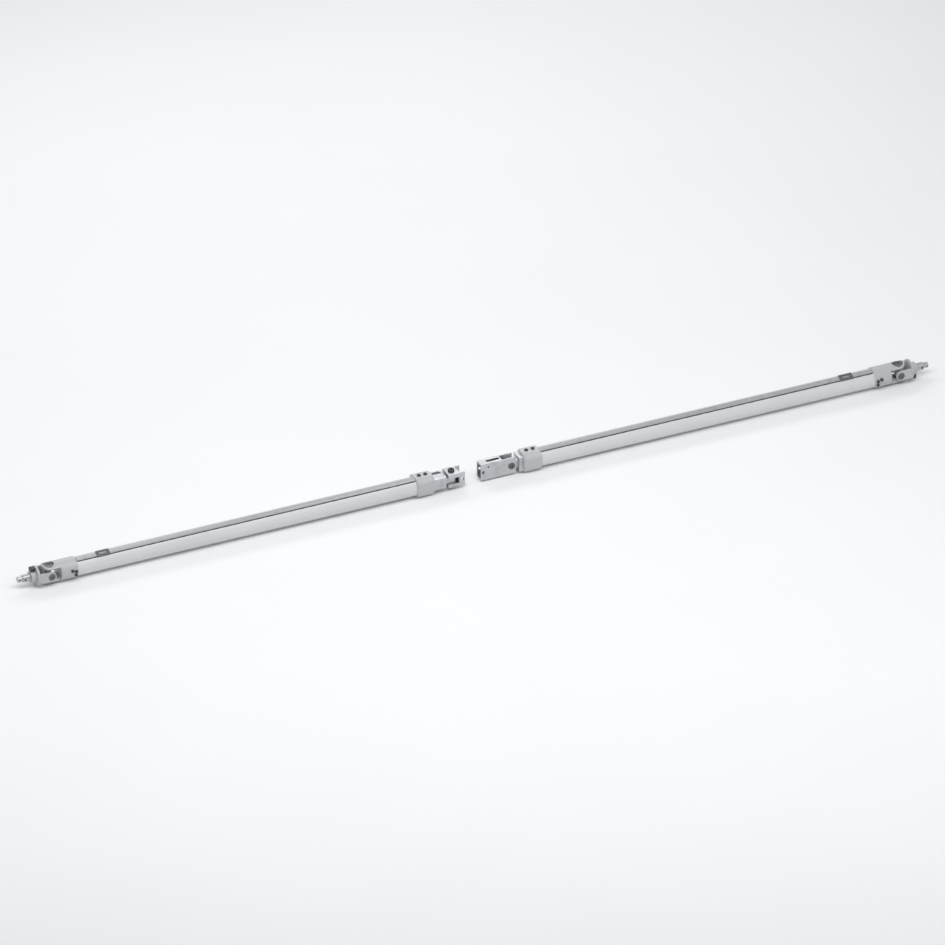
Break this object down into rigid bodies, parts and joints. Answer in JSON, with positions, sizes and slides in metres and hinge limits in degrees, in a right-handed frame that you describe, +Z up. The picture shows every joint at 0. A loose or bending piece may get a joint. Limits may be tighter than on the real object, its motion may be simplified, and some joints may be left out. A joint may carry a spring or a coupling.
{
  "type": "universal joint shaft",
  "caption": "Long two-part tubular drive shaft with a universal joint and stub at each outer end and a pinned plug-in link in the middle.",
  "frame": {"origin": "centre of the left stub shaft's outer end face, on the shaft's axis", "axes": "+X along the shaft towards the right stub, +Y to the back, +Z up through the upright trunnions and the link bolt's head"},
  "size_m": [2.543, 0.0616, 0.0572],
  "materials": {
    "tube_steel": "satin light-grey enamel on drawn steel tube",
    "forged_paint": "satin mid-grey enamel over forged steel",
    "rail_steel": "drawn bright steel flat",
    "machined_steel": "turned and milled bright steel",
    "cup_steel": "black-oxide hardened steel of the bearing cups and the hinge pin",
    "spring_steel": "phosphated spring steel",
    "fastener_black": "black-oxide fastener",
    "fastener_zinc": "zinc-plated fastener",
    "bronze": "plain bronze bush",
    "seal_rubber": "matt black lip seal"
  },
  "bodies": {
    "left_shaft": {"left_tube": "tube_steel", "left_guide_rail": "rail_steel", "left_rail_screws": "fastener_zinc", "left_rail_clip": "spring_steel", "left_sleeve_yoke": "forged_paint", "left_sleeve_bolts": "fastener_black", "left_sleeve_cups": "cup_steel", "left_sleeve_snap_rings": "spring_steel", "left_collar": "forged_paint", "left_collar_screws": "fastener_black", "left_tongue": "machined_steel", "left_tongue_bush": "bronze"},
    "left_cross": {"left_cross": "machined_steel", "left_cross_seals": "seal_rubber"},
    "left_stub": {"left_stub_yoke": "forged_paint", "left_stub_cups": "cup_steel", "left_stub_snap_rings": "spring_steel", "left_stub_shaft": "machined_steel", "left_set_screw": "fastener_black"},
    "right_shaft": {"right_tube": "tube_steel", "right_guide_rail": "rail_steel", "right_rail_screws": "fastener_zinc", "right_rail_clip": "spring_steel", "right_sleeve_yoke": "forged_paint", "right_sleeve_bolts": "fastener_black", "right_sleeve_cups": "cup_steel", "right_sleeve_snap_rings": "spring_steel", "right_collar": "forged_paint", "right_collar_screws": "fastener_black", "right_tongue": "machined_steel", "right_tongue_bush": "bronze"},
    "right_cross": {"right_cross": "machined_steel", "right_cross_seals": "seal_rubber"},
    "right_stub": {"right_stub_yoke": "forged_paint", "right_stub_cups": "cup_steel", "right_stub_snap_rings": "spring_steel", "right_stub_shaft": "machined_steel", "right_set_screw": "fastener_black"},
    "left_link": {"link_block": "machined_steel", "link_bolt": "fastener_black", "link_washer": "fastener_zinc", "link_nut": "fastener_zinc"},
    "right_link": {"link_box": "machined_steel", "link_stop_screw": "fastener_black", "link_pin": "cup_steel", "link_circlip": "spring_steel"}
  },
  "joints": [
    {"name": "left_cross_swing", "type": "hinge", "parent": "left_shaft", "child": "left_cross", "pos_m": [0.086, 0, 0], "axis": [0, 0, 1], "range_deg": [-30, 30]},
    {"name": "left_stub_tilt", "type": "hinge", "parent": "left_cross", "child": "left_stub", "pos_m": [0.086, 0, 0], "axis": [0, 1, 0], "range_deg": [-30, 30]},
    {"name": "left_link_swing", "type": "hinge", "parent": "left_shaft", "child": "left_link", "pos_m": [1.206, 0, 0], "axis": [0, 0, 1], "range_deg": [-20, 20]},
    {"name": "coupling_slide", "type": "slide", "parent": "left_link", "child": "right_link", "axis": [-1, 0, 0], "range_m": [0, 0.061]},
    {"name": "right_shaft_tilt", "type": "hinge", "parent": "right_link", "child": "right_shaft", "pos_m": [1.369, 0, 0], "axis": [0, 1, 0], "range_deg": [-20, 20]},
    {"name": "right_cross_swing", "type": "hinge", "parent": "right_shaft", "child": "right_cross", "pos_m": [2.457, 0, 0], "axis": [0, 0, 1], "range_deg": [-30, 30]},
    {"name": "right_stub_tilt", "type": "hinge", "parent": "right_cross", "child": "right_stub", "pos_m": [2.457, 0, 0], "axis": [0, 1, 0], "range_deg": [-30, 30]}
  ]
}
